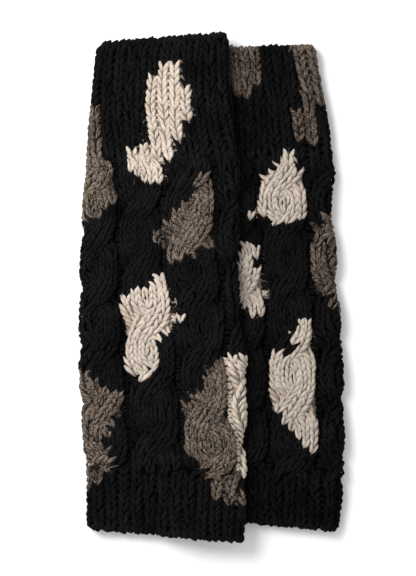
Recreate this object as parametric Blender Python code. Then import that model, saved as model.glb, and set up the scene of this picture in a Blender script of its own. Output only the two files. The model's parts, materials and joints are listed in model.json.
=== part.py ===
"""A pair of cabled wool arm warmers, laid flat with the left one overlapping the right one.

Each warmer is a tube knitted in the round: a ribbed cuff with the cast-on edge, a middle of six
rope cables, and a narrower ribbed cuff with the bind-off edge. Laid flat, the tube's two panels
lie on each other and close to a thin slot. Ribs and cables are raised in the outer face of the
wall, over a plain inside, and the face that rests stays flat.

Lengths below are millimetres: x across the pair, y along the arms with the narrow cuffs at +y,
z up from the surface on which the warmers lie.
"""
import bisect
import math
from collections import namedtuple

import bmesh
import bpy

MM = 0.001

# Cloth
WALL = 4.0                  # thick wool, measured between the cables
SLOT = 0.8                  # between the two panels, in the middle
FOLD_SLOT = 2.0             # between the two panels, where the tube folds over
FOLD_RADIUS = WALL + FOLD_SLOT / 2
FOLD_SWELL = 4              # power by which the slot widens towards the folds
SEAM_GAP = 0.3              # between pieces

# Knitting
STITCHES = 48               # round the tube
GROUP = 8                   # the six knit stitches of a cable, and a purl one on each side
RIB_KNIT, RIB_PURL = 1.5, 0.45      # widths of stitches in the rib, beside each other
CABLE_PURL = 0.3            # width of a gutter stitch beside a cable stitch of width 1
RIB_HEIGHT = 1.4
PLY_HEIGHT = 4.2            # rise of each of a cable's two plies
CABLE_PITCH = 44.0          # from one crossing to the next
LAST_TURN_FROM = 44.0       # the height from which a warmer's top pitch holds
PLY_OFFSET = 1.5            # stitches from the cable's middle to the middle of a ply
OVER_SPAN = 0.40            # half the height in which the upper ply crosses, as a share of the pitch
UNDER_SPAN = 0.45           # the same of the under ply, which leans across more slowly
CROSSING_DRAW = 0.12        # how far a crossing draws both plies in
OVER_SPREAD = 0.45          # how much wider across the upper ply is where it slants over
UNDER_SPREAD = 0.75         # the same of the under ply
UNDER_DIP = 0.8             # how much lower the under ply is there
PLY_FULLNESS = 3            # power that makes a ply's section fuller than a half circle
CROSSING_WAIST = 0.5        # how far the crossing sinks into the cloth
RIB_TO_CABLE = 10.0         # length over which ribs turn into cables

# How the left warmer lies on the right one
PRESSED = 0.33              # what is left of the cables' height under the other warmer
PRESSED_HEIGHT = RIB_HEIGHT
LIFT = 2 * WALL + FOLD_SLOT + PRESSED_HEIGHT + SEAM_GAP
RAMP_BEFORE = 24.0          # the cloth starts to rise this far before the other one's fold
RAMP_LENGTH = 28.0
PRESS_FADE = 10.0           # over which cables swell again, out from under the fold
PRESS_START = 4.0           # before the fold

# Mesh
CABLE_COLUMNS = (0, 1.1, 1.7, 2.5, 3.3, 4.0, 4.7, 5.5, 6.3, 6.9)    # stitches, in each group
RIB_COLUMN_STEP = 0.5       # stitches
LAST_RAISED_STITCH = 28.5   # the stitches past it lie on the underside at every height
CABLE_RING_STEP = 4.9
INNER_RINGS = 7
UNDERSIDE_FROM_FOLD = 24.0, 12.0    # first and last plain column, from the right and left fold
FOLD_COLUMNS = 3

Edges = namedtuple("Edges", "y left right")             # the two folds, without the cables
Gutters = namedtuple("Gutters", "y first second third")  # purl gutters, round from the left fold
End = namedtuple("End", "y slope left_corner right_corner")
Warmer = namedtuple("Warmer", "name edges gutters bottom top bottom_seam top_seam crossings top_pitch")
Section = namedtuple("Section", "warmer y left right")

LEFT = Warmer(
    name="left_warmer",
    edges=(
        Edges(-189, -93.0, 23.0),
        Edges(-165, -93.2, 24.6),
        Edges(-137, -93.4, 23.2),
        Edges(-115, -92.8, 22.6),
        Edges(-95, -95.4, 22.0),
        Edges(-75, -95.6, 22.4),
        Edges(-52, -96.6, 22.2),
        Edges(-30, -95.9, 19.0),
        Edges(-7, -95.8, 16.8),
        Edges(37, -95.0, 16.4),
        Edges(61, -93.6, 17.0),
        Edges(88, -91.8, 17.4),
        Edges(104, -93.2, 17.2),
        Edges(126, -92.2, 15.8),
        Edges(155, -89.0, 12.4),
        Edges(189, -85.5, 11.4),
    ),
    gutters=(
        Gutters(-187, 33.8, 72.3, 111.5),
        Gutters(-160, 33.8, 72.8, 113.5),
        Gutters(-130, 33.9, 74.0, 117.0),
        Gutters(-100, 34.2, 75.0, 113.5),
        Gutters(-55, 33.1, 73.8, 110.5),
        Gutters(-9, 30.0, 68.5, 108.6),
        Gutters(36, 27.4, 60.6, 101.4),
        Gutters(81, 24.0, 59.5, 98.7),
        Gutters(104, 22.1, 57.6, 95.3),
        Gutters(142, 16.6, 51.2, 86.4),
        Gutters(187, 15.2, 48.6, 82.2),
    ),
    bottom=End(-188.0, -0.078, 7.0, 3.0),
    top=End(189.4, 0.064, 10.0, 4.0),
    bottom_seam=-144.0,
    top_seam=100.0,
    crossings=(37.4, 16.2, 37.4, 16.2, 37.4, 16.2),
    top_pitch=44.0,
)

RIGHT = Warmer(
    name="right_warmer",
    edges=(
        Edges(-182, -23.5, 94.6),
        Edges(-165, -23.0, 96.6),
        Edges(-150, -22.5, 98.0),
        Edges(-130, -22.0, 96.2),
        Edges(-108, -21.2, 96.4),
        Edges(-86, -20.8, 95.4),
        Edges(-62, -21.2, 96.0),
        Edges(-38, -22.0, 94.2),
        Edges(-16, -23.0, 93.6),
        Edges(4, -23.6, 90.2),
        Edges(28, -24.2, 91.0),
        Edges(49, -24.4, 88.0),
        Edges(66, -24.0, 86.4),
        Edges(89, -23.6, 90.0),
        Edges(104, -23.1, 89.6),
        Edges(117, -22.6, 88.4),
        Edges(143, -22.0, 83.8),
        Edges(161, -21.8, 80.6),
        Edges(184, -20.8, 77.8),
    ),
    gutters=(
        Gutters(-183, 33.0, 70.0, 107.0),
        Gutters(-160, 32.1, 69.1, 107.6),
        Gutters(-115, 30.6, 68.4, 106.1),
        Gutters(-70, 29.2, 66.4, 103.8),
        Gutters(-9, 30.5, 66.8, 102.6),
        Gutters(28, 29.4, 64.6, 100.8),
        Gutters(66, 27.0, 61.1, 100.0),
        Gutters(96, 26.0, 59.5, 97.6),
        Gutters(142, 24.1, 55.9, 91.3),
        Gutters(183, 21.7, 50.4, 82.9),
    ),
    bottom=End(-179.4, -0.098, 5.0, 6.0),
    top=End(182.6, 0.03, 5.0, 6.5),
    bottom_seam=-144.0,
    top_seam=98.0,
    crossings=(0.4, 0.4, 1.0, 1.0, 0.4, 0.4),
    top_pitch=37.0,
)


def smooth(f):
    """0 to 1 with level ends, for f from 0 to 1."""
    f = min(max(f, 0.0), 1.0)
    return f * f * (3 - 2 * f)


def mix(a, b, f):
    return a + (b - a) * f


def read(rows, column, y):
    """One column of a table at height y, on a smooth curve through its rows."""
    heights = [row.y for row in rows]
    values = [getattr(row, column) for row in rows]

    def slope(i):
        before = max(i - 1, 0)
        after = min(i + 1, len(rows) - 1)
        return (values[after] - values[before]) / (heights[after] - heights[before])

    i = min(max(bisect.bisect_right(heights, y) - 1, 0), len(rows) - 2)
    step = heights[i + 1] - heights[i]
    f = (y - heights[i]) / step
    return (values[i] * (1 + 2 * f) * (1 - f) ** 2 + values[i + 1] * (3 - 2 * f) * f ** 2
            + step * f * (1 - f) * (slope(i) * (1 - f) - slope(i + 1) * f))


# Shape of the laid tube ------------------------------------------------------------------------

def corner(radius, distance):
    """How far a rounded corner draws a fold in, at a distance from the free end."""
    if distance >= radius:
        return 0.0
    return radius - math.sqrt(radius ** 2 - (radius - distance) ** 2)


def section(warmer, y):
    """The flattened tube's two folds at height y."""
    below = y - warmer.bottom.y
    above = warmer.top.y - y
    left = read(warmer.edges, "left", y)
    left += corner(warmer.bottom.left_corner, below) + corner(warmer.top.left_corner, above)
    right = read(warmer.edges, "right", y)
    right -= corner(warmer.bottom.right_corner, below) + corner(warmer.top.right_corner, above)
    return Section(warmer, y, left, right)


def slot(cut, x):
    """Space between the two panels, which widens towards the folds."""
    middle = (cut.left + cut.right) / 2
    reach = (cut.right - cut.left) / 2 - FOLD_RADIUS
    f = min(abs(x - middle) / reach, 1.0)
    return mix(SLOT, FOLD_SLOT, f ** FOLD_SWELL)


def girth(cut):
    """Length round the plain outer face."""
    return 2 * (cut.right - cut.left - 2 * FOLD_RADIUS) + 2 * math.pi * FOLD_RADIUS


def around(cut, arc):
    """Point x, z and outward direction on the plain outer face, arc mm round from the left fold."""
    half_fold = math.pi * FOLD_RADIUS
    flat = cut.right - cut.left - 2 * FOLD_RADIUS
    arc = (arc + half_fold / 2) % girth(cut)
    if arc < half_fold:
        angle = arc / FOLD_RADIUS
        dx, dz = -math.sin(angle), -math.cos(angle)
        return cut.left + FOLD_RADIUS * (1 + dx), FOLD_RADIUS * (1 + dz), dx, dz
    arc -= half_fold
    if arc < flat:
        x = cut.left + FOLD_RADIUS + arc
        return x, 2 * WALL + slot(cut, x), 0.0, 1.0
    arc -= flat
    if arc < half_fold:
        angle = arc / FOLD_RADIUS
        dx, dz = math.sin(angle), math.cos(angle)
        return cut.right + FOLD_RADIUS * (dx - 1), FOLD_RADIUS * (1 + dz), dx, dz
    return cut.right - FOLD_RADIUS - (arc - half_fold), 0.0, 0.0, -1.0


def ramp_start(y):
    """Where the left warmer starts to rise over the right one's fold."""
    return read(RIGHT.edges, "left", y) - RAMP_BEFORE


def place(cut, x, z):
    """A point of the tube in the pair's own frame: ends slant, and the left warmer is lifted."""
    warmer = cut.warmer
    middle = (cut.left + cut.right) / 2
    low = warmer.bottom.y + warmer.bottom.slope * (x - middle)
    high = warmer.top.y + warmer.top.slope * (x - middle)
    f = (cut.y - warmer.bottom.y) / (warmer.top.y - warmer.bottom.y)
    if warmer is LEFT:
        z += LIFT * smooth((x - ramp_start(cut.y)) / RAMP_LENGTH)
    return x, mix(low, high, f), z


# Knitting --------------------------------------------------------------------------------------

def cabled(warmer, y):
    """0 in the ribs, 1 in the cables."""
    return smooth((y - warmer.bottom_seam) / RIB_TO_CABLE) * smooth((warmer.top_seam - y) / RIB_TO_CABLE)


def stitch_width(warmer, number, y):
    """Width of a group's stitch, by its number in the group."""
    rib = RIB_KNIT if number % 2 else RIB_PURL
    cable = 1.0 if 0 < number < GROUP - 1 else CABLE_PURL
    return mix(rib, cable, cabled(warmer, y))


def share(warmer, within, y):
    """How much of a group's width lies before the stitch position within it."""
    widths = [stitch_width(warmer, number, y) for number in range(GROUP)]
    before = sum(width * min(max(within - number, 0.0), 1.0) for number, width in enumerate(widths))
    return before / sum(widths)


def arc_of(cut, stitch):
    """How far round from the left fold a place lies, counted in stitches; groups start at gutters."""
    warmer, y = cut.warmer, cut.y
    first, second, third = (read(warmer.gutters, name, y) for name in ("first", "second", "third"))
    start = 2 * first - second
    behind = (girth(cut) + start - third) / 3
    marks = (start, first, second, third, third + behind, third + 2 * behind, third + 3 * behind)
    group = int(stitch // GROUP)
    return mix(marks[group], marks[group + 1], share(warmer, stitch - group * GROUP, y))


def ply_rise(offset, half_width):
    return math.sqrt(max(1 - abs(offset / half_width) ** PLY_FULLNESS, 0.0))


def swing(turn, span):
    """-1 to 1 from the cable's one side to its other, as a ply crosses."""
    return math.sin(math.pi / 2 * min(max(turn / span, -1.0), 1.0))


def turn_at(warmer, group, y):
    """Turns of a cable from its nearest crossing to height y."""
    low = min(y, LAST_TURN_FROM)
    turn = (low - warmer.crossings[group]) / CABLE_PITCH + (y - low) / warmer.top_pitch
    return turn - round(turn)


def cable_height(warmer, stitch, y):
    """A rope of two plies: at each crossing the left one passes over to the upper right."""
    group = int(stitch // GROUP) % len(warmer.crossings)
    across = stitch % GROUP - GROUP / 2
    turn = turn_at(warmer, group, y)
    near = smooth(1 - abs(turn) / OVER_SPAN)
    tight = smooth(1 - abs(turn) / UNDER_SPAN)
    reach = PLY_OFFSET * (1 - CROSSING_DRAW * near)
    over = ply_rise(across - reach * swing(turn, OVER_SPAN), PLY_OFFSET * (1 + OVER_SPREAD * near))
    under = ply_rise(across + reach * swing(turn, UNDER_SPAN), PLY_OFFSET * (1 + UNDER_SPREAD * tight))
    waist = CROSSING_WAIST * near * (1 - (2 * across / GROUP) ** 2)
    return PLY_HEIGHT * max(over, under * (1 - UNDER_DIP * near)) - waist


def relief(cut, stitch, x):
    """Height of ribs and cables over the plain face."""
    warmer, y = cut.warmer, cut.y
    rib = RIB_HEIGHT * (1 - math.cos(math.pi * (stitch - 0.5))) / 2
    cable = cable_height(warmer, stitch, y)
    if warmer is RIGHT:
        fold = read(LEFT.edges, "right", y)
        cable *= mix(PRESSED, 1.0, smooth((x - fold + PRESS_START) / PRESS_FADE))
    return mix(rib, cable, cabled(warmer, y))


# Rings of points -------------------------------------------------------------------------------

def underside_columns(cut):
    """x of the plain underside's points, from the right fold to the left one."""
    first = cut.right - UNDERSIDE_FROM_FOLD[0]
    last = cut.left + UNDERSIDE_FROM_FOLD[1]
    if cut.warmer is RIGHT:
        return [mix(first, last, i / 4) for i in range(5)]
    ramp = ramp_start(cut.y)
    slope = [ramp + RAMP_LENGTH * (6 - i) / 6 for i in range(7)]
    return [first] + slope + [(ramp + last) / 2, last]


def outer_ring(cut, stitches):
    points = []
    for stitch in stitches:
        x, z, dx, dz = around(cut, arc_of(cut, stitch))
        raised = relief(cut, stitch, x) * min(1 + dz, 1.0)
        points.append(place(cut, x + dx * raised, z + dz * raised))
    points += [place(cut, x, 0.0) for x in underside_columns(cut)]
    return points


def inner_ring(cut):
    """The plain inside: the left fold, the upper panel, the right fold, the lower panel."""
    inside = FOLD_SLOT / 2
    across = underside_columns(cut)
    points = []
    for i in range(FOLD_COLUMNS):
        angle = math.pi * (i + 0.5) / FOLD_COLUMNS
        x = cut.left + FOLD_RADIUS - inside * math.sin(angle)
        points.append(place(cut, x, FOLD_RADIUS - inside * math.cos(angle)))
    for x in reversed(across):
        points.append(place(cut, x, WALL + slot(cut, x)))
    for i in range(FOLD_COLUMNS):
        angle = math.pi * (i + 0.5) / FOLD_COLUMNS
        x = cut.right - FOLD_RADIUS + inside * math.sin(angle)
        points.append(place(cut, x, FOLD_RADIUS + inside * math.cos(angle)))
    for x in across:
        points.append(place(cut, x, WALL))
    return points


# Meshes ----------------------------------------------------------------------------------------

def progress(ring):
    """How far round its ring each corner lies, from 0 to 1."""
    lengths = [0.0]
    for i, vert in enumerate(ring):
        lengths.append(lengths[-1] + (ring[(i + 1) % len(ring)].co - vert.co).length)
    return [length / lengths[-1] for length in lengths]


def loft(bm, rings):
    for low, high in zip(rings, rings[1:]):
        for i in range(len(low)):
            j = (i + 1) % len(low)
            bm.faces.new((low[i], low[j], high[j], high[i]))


def bridge(bm, ring, other):
    """Triangles between two rings that may have unlike counts of corners."""
    far, other_far = progress(ring), progress(other)
    i = j = 0
    while i < len(ring) or j < len(other):
        a, b = ring[i % len(ring)], other[j % len(other)]
        if j == len(other) or (i < len(ring) and far[i + 1] <= other_far[j + 1]):
            i += 1
            bm.faces.new((a, ring[i % len(ring)], b))
        else:
            j += 1
            bm.faces.new((a, other[j % len(other)], b))


def add_ring(bm, points):
    return [bm.verts.new((x * MM, y * MM, z * MM)) for x, y, z in points]


def tube(name, warmer, outer_heights, inner_heights, stitches, material, collection):
    """One piece of a warmer: raised outer face, plain inside, open at both ends."""
    bm = bmesh.new()
    outer = [add_ring(bm, outer_ring(section(warmer, y), stitches)) for y in outer_heights]
    inner = [add_ring(bm, inner_ring(section(warmer, y))) for y in inner_heights]
    loft(bm, outer)
    loft(bm, inner)
    bridge(bm, outer[0], inner[0])
    bridge(bm, outer[-1], inner[-1])
    bmesh.ops.recalc_face_normals(bm, faces=bm.faces)
    bmesh.ops.triangulate(bm, faces=bm.faces)
    mesh = bpy.data.meshes.new(name)
    bm.to_mesh(mesh)
    bm.free()
    mesh.shade_smooth()
    mesh.set_sharp_from_angle(angle=math.radians(60))
    mesh.materials.append(material)
    collection.objects.link(bpy.data.objects.new(name, mesh))


def evenly(low, high, count):
    return [mix(low, high, i / (count - 1)) for i in range(count)]


def towards_end(seam, end, corner_radius):
    """Heights from a seam to a free end, closer together in the rounded corners."""
    way = math.copysign(1.0, end - seam)
    rounded = end - way * corner_radius
    return evenly(seam, rounded, 4) + [end - way * corner_radius * 0.3, end]


def wool(name, colour):
    material = bpy.data.materials.new(name)
    material.use_nodes = True
    shader = material.node_tree.nodes["Principled BSDF"]
    shader.inputs["Base Color"].default_value = (*colour, 1.0)
    shader.inputs["Roughness"].default_value = 0.95
    shader.inputs["Metallic"].default_value = 0.0
    return material


def add_warmer(warmer, collection):
    raised = [group * GROUP + column for group in range(STITCHES // GROUP) for column in CABLE_COLUMNS]
    cable_stitches = [stitch for stitch in raised if stitch <= LAST_RAISED_STITCH]
    rib_count = round(LAST_RAISED_STITCH / RIB_COLUMN_STEP) + 1
    rib_stitches = [i * RIB_COLUMN_STEP for i in range(rib_count)]
    low = warmer.bottom_seam + SEAM_GAP / 2
    high = warmer.top_seam - SEAM_GAP / 2
    rings = round((high - low) / CABLE_RING_STEP) + 1
    pieces = (
        ("top_rib", rib_stitches, (0.016, 0.015, 0.015),
         towards_end(warmer.top_seam + SEAM_GAP / 2, warmer.top.y, warmer.top.left_corner)),
        ("cabled_tube", cable_stitches, (0.019, 0.018, 0.018), evenly(low, high, rings)),
        ("bottom_rib", rib_stitches, (0.016, 0.015, 0.015),
         towards_end(warmer.bottom_seam - SEAM_GAP / 2, warmer.bottom.y, warmer.bottom.left_corner)),
    )
    for part, stitches, colour, heights in pieces:
        inner = heights if len(heights) < INNER_RINGS else evenly(heights[0], heights[-1], INNER_RINGS)
        name = f"{warmer.name}_{part}"
        tube(name, warmer, heights, inner, stitches, wool(f"{name}_wool", colour), collection)


def main():
    for item in list(bpy.data.objects):
        bpy.data.objects.remove(item)
    collection = bpy.data.collections.new("arm_warmers")
    bpy.context.scene.collection.children.link(collection)
    for warmer in (LEFT, RIGHT):
        add_warmer(warmer, collection)


if __name__ == "__main__":
    main()
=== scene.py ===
"""A pair of cabled wool arm warmers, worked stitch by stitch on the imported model's form.

Lengths are millimetres unless a line says otherwise: x across the pair, y along the arms with the
narrow cuffs at +y, z up from the surface on which the warmers lie. A place on a warmer is given by
its stitch number, counted round the tube from the left fold, its height y, and how far it stands
out from the cloth's plain outer face.
"""

import json
import math
from collections import namedtuple

import bpy
import numpy as np
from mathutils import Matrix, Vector
from bpy.props import EnumProperty, FloatProperty, FloatVectorProperty, IntProperty, PointerProperty

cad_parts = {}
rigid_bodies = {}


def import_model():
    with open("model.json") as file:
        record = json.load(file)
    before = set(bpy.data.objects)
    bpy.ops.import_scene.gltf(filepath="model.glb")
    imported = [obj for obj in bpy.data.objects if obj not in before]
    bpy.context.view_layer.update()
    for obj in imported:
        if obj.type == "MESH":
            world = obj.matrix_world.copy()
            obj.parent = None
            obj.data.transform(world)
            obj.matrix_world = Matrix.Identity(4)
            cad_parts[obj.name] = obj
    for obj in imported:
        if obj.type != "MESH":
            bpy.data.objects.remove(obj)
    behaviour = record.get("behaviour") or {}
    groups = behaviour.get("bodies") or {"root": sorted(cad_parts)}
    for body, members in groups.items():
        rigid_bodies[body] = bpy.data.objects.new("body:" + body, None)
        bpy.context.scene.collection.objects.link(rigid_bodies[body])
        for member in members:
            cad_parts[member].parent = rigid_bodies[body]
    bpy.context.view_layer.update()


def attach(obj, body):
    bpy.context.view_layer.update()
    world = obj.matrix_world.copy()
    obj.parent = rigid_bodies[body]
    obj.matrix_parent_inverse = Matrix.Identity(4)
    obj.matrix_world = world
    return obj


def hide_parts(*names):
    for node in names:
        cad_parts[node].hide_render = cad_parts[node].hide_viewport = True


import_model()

bl_info = {
    "name": "Cabled Arm Warmers",
    "version": (1, 0, 0),
    "blender": (4, 5, 0),
    "location": "3D View > Sidebar > Arm Warmers",
    "description": "Works a laid-out pair of cabled wool arm warmers, stitch by stitch",
    "category": "Add Mesh",
}

MM = 0.001
SEED = 42

# The laid tube
WALL = 4.0                          # thickness of the cloth, between the cables
SLOT, FOLD_SLOT = 0.8, 2.0          # between the two panels, in the middle and at the folds
FOLD_RADIUS = WALL + FOLD_SLOT / 2
FOLD_SWELL = 4                      # power by which the slot widens towards the folds

# The knitting's widths and heights
STITCHES = 48                       # round the tube
GROUP = 8                           # a cable's six knit stitches, and a purl one on each side
RIB_KNIT, RIB_PURL = 1.5, 0.45      # widths of stitches in the rib, beside each other
CABLE_PURL = 0.3                    # of a gutter's stitch, beside a cable's of width 1
RIB_HEIGHT = 1.4
PLY_HEIGHT = 4.2
CABLE_PITCH = 44.0                  # from one crossing to the next
PLY_OFFSET = 1.5                    # stitches from a cable's middle to a ply's
LAST_TURN_FROM = 44.0               # the height from which a warmer's top pitch holds
OVER_SPAN, UNDER_SPAN = 0.40, 0.45  # of the pitch, in which the upper and the under ply cross
CROSSING_DRAW = 0.12
OVER_SPREAD, UNDER_SPREAD = 0.45, 0.75
UNDER_DIP = 0.8
PLY_FULLNESS = 3
DOME_EASE = 1.06            # a ply's stitches reach a little over its edge
PLY_MIDDLES = 2, 5          # the middle stitch of each ply, in its group
RIB_SHARE, RIB_LEVEL = 0.5, 0.35    # of a rib's rise and its height, where a cable starts from it
CROSSING_WAIST = 0.5
RIB_TO_CABLE = 10.0

# How the left warmer lies on the right one
PRESSED = 0.33                      # what is left of the cables' height underneath
GAP = 0.3                           # between the two warmers
LIFT = 2 * WALL + FOLD_SLOT + RIB_HEIGHT + GAP
RAMP_BEFORE, RAMP_LENGTH = 24.0, 28.0
PRESS_START, PRESS_FADE = 4.0, 10.0

# One warmer: x of its folds and how far round from the left one its upper gutters lie, by height y;
# its free ends with their slant and rounded corners; the height of each cable's named crossing.
# Spans of a patch are x of its two sides, by y. Where patches meet, the one named first wins.
Edges = namedtuple("Edges", "y left right")
Gutters = namedtuple("Gutters", "y first second third")
End = namedtuple("End", "y slope left_corner right_corner")
Span = namedtuple("Span", "y left right")
Patch = namedtuple("Patch", "yarn spans")
Warmer = namedtuple("Warmer", "name edges gutters bottom top bottom_seam top_seam crossings top_pitch "
                    "tone patches")


def table(kind, *rows):
    """Rows of numbers under the named columns of kind."""
    return tuple(kind(*row) for row in rows)


def patch(yarn, *spans):
    return Patch(yarn, table(Span, *spans))


LEFT = Warmer(
    name="left_warmer",
    edges=table(
        Edges,
        (-189, -93.0, 23.0), (-165, -93.2, 24.6), (-137, -93.4, 23.2), (-115, -92.8, 22.6),
        (-95, -95.4, 22.0), (-75, -95.6, 22.4), (-52, -96.6, 22.2), (-30, -95.9, 19.0), (-7, -95.8, 16.8),
        (37, -95.0, 16.4), (61, -93.6, 17.0), (88, -91.8, 17.4), (104, -93.2, 17.2), (126, -92.2, 15.8),
        (155, -89.0, 12.4), (189, -85.5, 11.4),
    ),
    gutters=table(
        Gutters,
        (-187, 33.8, 72.3, 111.5), (-160, 33.8, 72.8, 113.5), (-130, 33.9, 74.0, 117.0),
        (-100, 34.2, 75.0, 113.5), (-55, 33.1, 73.8, 110.5), (-9, 30.0, 68.5, 108.6),
        (36, 27.4, 60.6, 101.4), (81, 24.0, 59.5, 98.7), (104, 22.1, 57.6, 95.3), (142, 16.6, 51.2, 86.4),
        (187, 15.2, 48.6, 82.2),
    ),
    bottom=End(-188.0, -0.078, 7.0, 3.0),
    top=End(189.4, 0.064, 10.0, 4.0),
    bottom_seam=-144.0,
    top_seam=100.0,
    crossings=(37.4, 16.2, 37.4, 16.2, 37.4, 16.2),
    top_pitch=44.0,
    tone=1.0,
    patches=(
        patch("cream", (171, -33, -22), (166, -42, -19), (159, -45, -21), (157, -53, -21), (152, -49, -21),
              (151, -49, -11), (147, -49, -14), (131, -49, -12), (125, -51, -16), (123, -52, -22),
              (115, -51, -20), (110, -50, -23), (108, -57, -25), (102, -64, -25), (90, -63, -33),
              (83, -60, -34), (79, -46, -36)),
        patch("taupe", (137, -130, -89), (126, -130, -86), (122, -130, -80), (96, -130, -82),
              (92, -130, -75), (77, -130, -72), (64, -130, -72), (61, -130, -80), (54, -130, -87),
              (44, -120, -95)),
        patch("taupe", (85, -6, -1), (80, -11, 0), (64, -20, 3), (50, -33, 3), (43, -42, 2), (32, -41, 0),
              (29, -41, -10), (24, -39, -14), (18, -32, -28)),
        patch("cream", (8, -38, -33), (2, -47, -28), (-3, -60, -27), (-9, -66, -26), (-26, -65, -23),
              (-31, -65, -27), (-36, -64, -34), (-47, -64, -41), (-61, -62, -43), (-70, -54, -47)),
        patch("taupe", (-66, -126, -94), (-77, -130, -80), (-80, -130, -69), (-87, -130, -63),
              (-98, -130, -71), (-103, -130, -77), (-123, -130, -80), (-132, -130, -77), (-143, -130, -82),
              (-154, -120, -92)),
        patch("taupe", (-50, 3, 8), (-59, -3, 12), (-77, -6, 14), (-86, -17, 14), (-97, -22, 14),
              (-101, -22, 11), (-106, -22, 14), (-120, -20, 18), (-136, -12, 22), (-149, 0, 24),
              (-165, 8, 26)),
        patch("cream", (-52, 14, 30), (-57, 4, 40), (-75, 4, 52), (-120, 4, 50), (-142, 12, 38)),
        patch("cream", (160, 48, 60), (140, 40, 68), (112, 46, 66)),
        patch("taupe", (60, 44, 66), (30, 36, 72), (4, 42, 60)),
    ),
)

RIGHT = Warmer(
    name="right_warmer",
    edges=table(
        Edges,
        (-182, -23.5, 94.6), (-165, -23.0, 96.6), (-150, -22.5, 98.0), (-130, -22.0, 96.2),
        (-108, -21.2, 96.4), (-86, -20.8, 95.4), (-62, -21.2, 96.0), (-38, -22.0, 94.2), (-16, -23.0, 93.6),
        (4, -23.6, 90.2), (28, -24.2, 91.0), (49, -24.4, 88.0), (66, -24.0, 86.4), (89, -23.6, 90.0),
        (104, -23.1, 89.6), (117, -22.6, 88.4), (143, -22.0, 83.8), (161, -21.8, 80.6), (184, -20.8, 77.8),
    ),
    gutters=table(
        Gutters,
        (-183, 33.0, 70.0, 107.0), (-160, 32.1, 69.1, 107.6), (-115, 30.6, 68.4, 106.1),
        (-70, 29.2, 66.4, 103.8), (-9, 30.5, 66.8, 102.6), (28, 29.4, 64.6, 100.8), (66, 27.0, 61.1, 100.0),
        (96, 26.0, 59.5, 97.6), (142, 24.1, 55.9, 91.3), (183, 21.7, 50.4, 82.9),
    ),
    bottom=End(-179.4, -0.098, 5.0, 6.0),
    top=End(182.6, 0.03, 5.0, 6.5),
    bottom_seam=-144.0,
    top_seam=98.0,
    crossings=(0.4, 0.4, 1.0, 1.0, 0.4, 0.4),
    top_pitch=37.0,
    # painted shade: all the right warmer's yarn is drawn darker, as less light falls on it than on the left
    # one
    tone=0.84,
    patches=(
        patch("taupe", (186, 4, 39), (154, 5, 39), (152, 8, 29), (142, 17, 28)),
        patch("taupe", (187, 58, 94), (178, 58, 94), (175, 63, 94), (157, 65, 94), (142, 64, 94),
              (138, 64, 84), (122, 65, 82), (121, 61, 82), (113, 62, 81), (110, 70, 80)),
        patch("cream", (104, 55, 58), (100, 51, 64), (90, 47, 65), (86, 42, 70), (79, 40, 68), (74, 36, 71),
              (60, 33, 74), (59, 27, 73), (53, 28, 72), (52, 38, 72), (48, 52, 61)),
        patch("taupe", (56, 80, 120), (45, 83, 120), (39, 76, 120), (27, 74, 120), (-1, 73, 120),
              (-5, 84, 116), (-18, 96, 110)),
        patch("cream", (33, 25, 36), (27, 18, 40), (22, 18, 40), (20, 18, 29), (13, 18, 29), (11, 17, 38),
              (8, 17, 41), (-1, 15, 44), (-4, 15, 48), (-8, 17, 41), (-24, 30, 36)),
        patch("cream", (-23, 70, 75), (-28, 66, 77), (-38, 62, 77), (-43, 62, 75), (-52, 58, 75),
              (-59, 51, 77), (-68, 39, 79), (-77, 46, 79), (-92, 45, 79), (-95, 52, 79), (-105, 55, 81),
              (-112, 62, 82), (-121, 70, 81), (-128, 75, 79)),
        patch("cream", (-48, 49, 55), (-66, 44, 58)),
        patch("cream", (132, 17, 20), (122, 17, 20)),
        patch("taupe", (-60, 112, 140), (-90, 106, 146), (-120, 116, 138)),
        patch("cream", (150, 100, 122), (120, 104, 126), (96, 110, 120)),
    ),
)

WARMERS = {warmer.name: warmer for warmer in (LEFT, RIGHT)}
YARNS = ("charcoal", "cream", "taupe")
ZONES = ("top_rib", "cabled_tube", "bottom_rib")


def smooth(f):
    """0 to 1 with level ends, for f from 0 to 1."""
    f = np.clip(f, 0.0, 1.0)
    return f * f * (3 - 2 * f)


def mix(a, b, f):
    return a + (b - a) * f


def unit(vectors):
    return vectors / np.maximum(np.linalg.norm(vectors, axis=-1, keepdims=True), 1e-9)


def read(rows, column, y):
    """One column of a table at heights y, on a smooth curve through its rows."""
    heights = np.array([row.y for row in rows], float)
    values = np.array([getattr(row, column) for row in rows], float)
    slopes = np.empty_like(values)
    slopes[1:-1] = (values[2:] - values[:-2]) / (heights[2:] - heights[:-2])
    slopes[0] = (values[1] - values[0]) / (heights[1] - heights[0])
    slopes[-1] = (values[-1] - values[-2]) / (heights[-1] - heights[-2])
    i = np.clip(np.searchsorted(heights, y, side="right") - 1, 0, len(rows) - 2)
    step = heights[i + 1] - heights[i]
    f = (y - heights[i]) / step
    return (values[i] * (1 + 2 * f) * (1 - f) ** 2 + values[i + 1] * (3 - 2 * f) * f ** 2
            + step * f * (1 - f) * (slopes[i] * (1 - f) - slopes[i + 1] * f))


# Shape of the laid tube ------------------------------------------------------------------------

def corner(radius, distance):
    """How far a rounded corner draws a fold in, at a distance from the free end."""
    left = radius - np.clip(distance, 0.0, radius)
    return radius - np.sqrt(radius ** 2 - left ** 2)


def folds(warmer, y):
    """Where the flattened tube folds over, on its left and its right."""
    below, above = y - warmer.bottom.y, warmer.top.y - y
    left = read(warmer.edges, "left", y)
    left = left + corner(warmer.bottom.left_corner, below) + corner(warmer.top.left_corner, above)
    right = read(warmer.edges, "right", y)
    right = right - corner(warmer.bottom.right_corner, below) - corner(warmer.top.right_corner, above)
    return left, right


def girth(warmer, y):
    """Length round the plain outer face."""
    left, right = folds(warmer, y)
    return 2 * (right - left - 2 * FOLD_RADIUS) + 2 * math.pi * FOLD_RADIUS


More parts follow.
